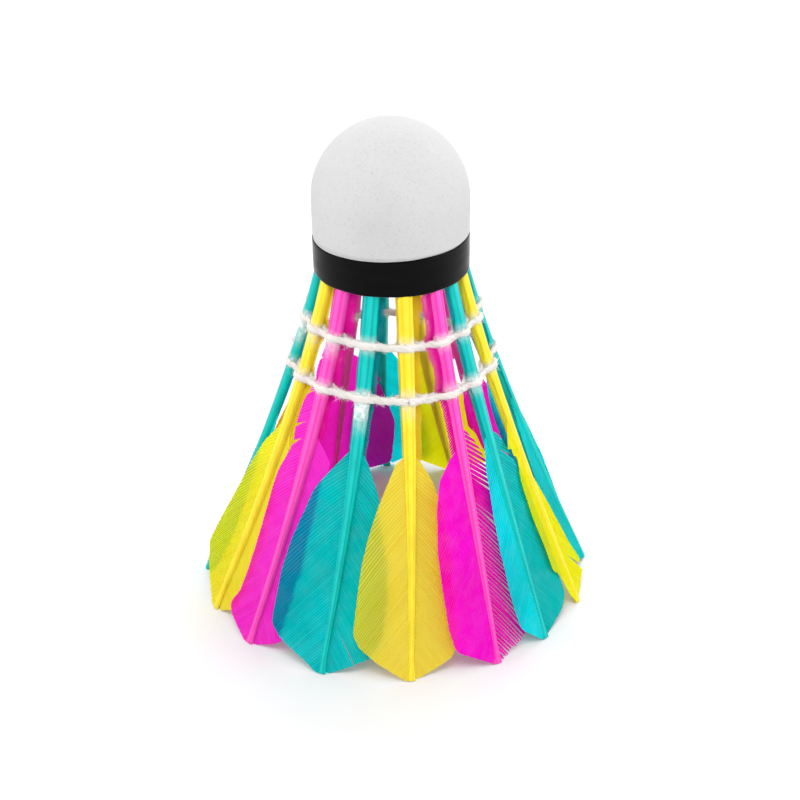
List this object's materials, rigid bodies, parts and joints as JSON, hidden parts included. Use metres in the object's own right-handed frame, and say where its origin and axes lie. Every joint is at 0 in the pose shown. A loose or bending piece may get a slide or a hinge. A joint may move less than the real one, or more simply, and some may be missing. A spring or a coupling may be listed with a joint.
{
  "type": "badminton shuttlecock",
  "caption": "Feather badminton shuttlecock with a white foam head, a black band and a skirt of teal, yellow and magenta feathers bound with two rows of thread.",
  "frame": {"origin": "on the head's axis, in the plane of the feet of the feathers that the shuttlecock stands on", "axes": "+Z along the head's axis, from the feet up to the top of the head; -Y towards feather 01, which faces the viewer, and the feathers count counter-clockwise seen from above"},
  "size_m": [0.068, 0.068, 0.0818],
  "materials": {
    "foam": "matt closed-cell foam with fine pores",
    "tape": "satin black tape",
    "thread": "fuzzy twisted white cotton thread set with clear glue",
    "teal_vane": "dyed feather barbs, translucent",
    "teal_shaft": "dyed quill, satin",
    "yellow_vane": "dyed feather barbs, translucent",
    "yellow_shaft": "dyed quill, satin",
    "magenta_vane": "dyed feather barbs, translucent",
    "magenta_shaft": "dyed quill, satin"
  },
  "bodies": {
    "root": {"foam_head": "foam", "band_tape": "tape", "thread_upper_outer": "thread", "thread_upper_inner": "thread", "thread_lower_outer": "thread", "thread_lower_inner": "thread", "feather_01_shaft": "yellow_shaft", "feather_01_vane_left": "yellow_vane", "feather_01_vane_right": "yellow_vane", "feather_02_shaft": "magenta_shaft", "feather_02_vane_left": "magenta_vane", "feather_02_vane_right": "magenta_vane", "feather_03_shaft": "teal_shaft", "feather_03_vane_left": "teal_vane", "feather_03_vane_right": "teal_vane", "feather_04_shaft": "yellow_shaft", "feather_04_vane_left": "yellow_vane", "feather_04_vane_right": "yellow_vane", "feather_05_shaft": "teal_shaft", "feather_05_vane_left": "teal_vane", "feather_05_vane_right": "teal_vane", "feather_06_shaft": "teal_shaft", "feather_06_vane_left": "teal_vane", "feather_06_vane_right": "teal_vane", "feather_07_shaft": "magenta_shaft", "feather_07_vane_left": "magenta_vane", "feather_07_vane_right": "magenta_vane", "feather_08_shaft": "yellow_shaft", "feather_08_vane_left": "yellow_vane", "feather_08_vane_right": "yellow_vane", "feather_09_shaft": "teal_shaft", "feather_09_vane_left": "teal_vane", "feather_09_vane_right": "teal_vane", "feather_10_shaft": "magenta_shaft", "feather_10_vane_left": "magenta_vane", "feather_10_vane_right": "magenta_vane", "feather_11_shaft": "yellow_shaft", "feather_11_vane_left": "yellow_vane", "feather_11_vane_right": "yellow_vane", "feather_12_shaft": "magenta_shaft", "feather_12_vane_left": "magenta_vane", "feather_12_vane_right": "magenta_vane", "feather_13_shaft": "teal_shaft", "feather_13_vane_left": "teal_vane", "feather_13_vane_right": "teal_vane", "feather_14_shaft": "yellow_shaft", "feather_14_vane_left": "yellow_vane", "feather_14_vane_right": "yellow_vane", "feather_15_shaft": "magenta_shaft", "feather_15_vane_left": "magenta_vane", "feather_15_vane_right": "magenta_vane", "feather_16_shaft": "teal_shaft", "feather_16_vane_left": "teal_vane", "feather_16_vane_right": "teal_vane"}
  },
  "joints": []
}
